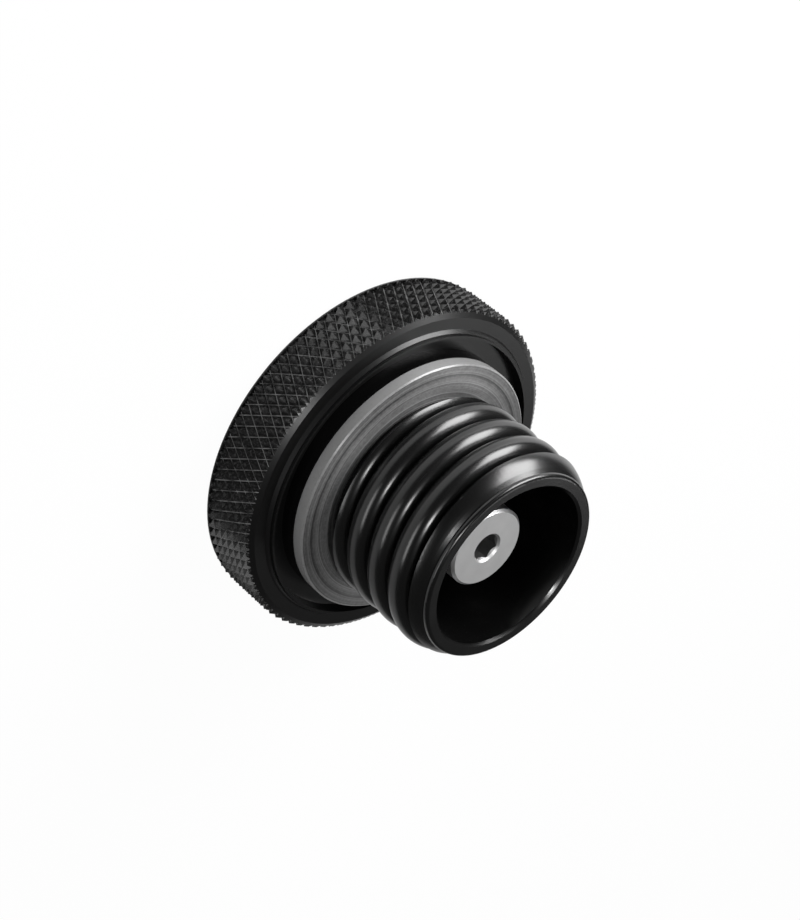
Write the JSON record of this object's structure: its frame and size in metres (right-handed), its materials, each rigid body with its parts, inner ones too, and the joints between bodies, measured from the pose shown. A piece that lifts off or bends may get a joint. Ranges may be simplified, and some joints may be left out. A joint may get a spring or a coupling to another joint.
{
  "type": "screw-in vented fuel cap",
  "caption": "Round fuel cap with a diamond-knurled head, a coarse round-crested screw neck, a flat gasket and a ball vent valve behind a hollow hex-socket screw.",
  "frame": {"origin": "centre of the head's flat top face, on which the cap stands", "axes": "+Z along the cap's axis, from the head towards the open end of the neck; the vent groove runs along +Y"},
  "size_m": [0.0732, 0.0732, 0.0466],
  "materials": {
    "satin_black_anodised": "satin black anodised",
    "gloss_black_anodised": "gloss black anodised",
    "grey_gasket": "matt, lathe-cut",
    "bare_screw_metal": "fine turned",
    "black_seal_rubber": "matt",
    "seat_brass": "turned",
    "ball_steel": "polished",
    "spring_steel": "drawn wire"
  },
  "bodies": {
    "cap": {"knurled_head": "satin_black_anodised", "threaded_neck": "gloss_black_anodised", "sealing_gasket": "grey_gasket", "vent_screw": "bare_screw_metal", "screw_seal": "black_seal_rubber", "valve_seat": "seat_brass", "valve_spring": "spring_steel"},
    "ball": {"vent_ball": "ball_steel"}
  },
  "joints": [
    {"name": "vent_lift", "type": "slide", "parent": "cap", "child": "ball", "axis": [0, 0, 1], "range_m": [0, 0.001], "stiffness_N_per_m": 20, "deforming": ["valve_spring"]}
  ]
}
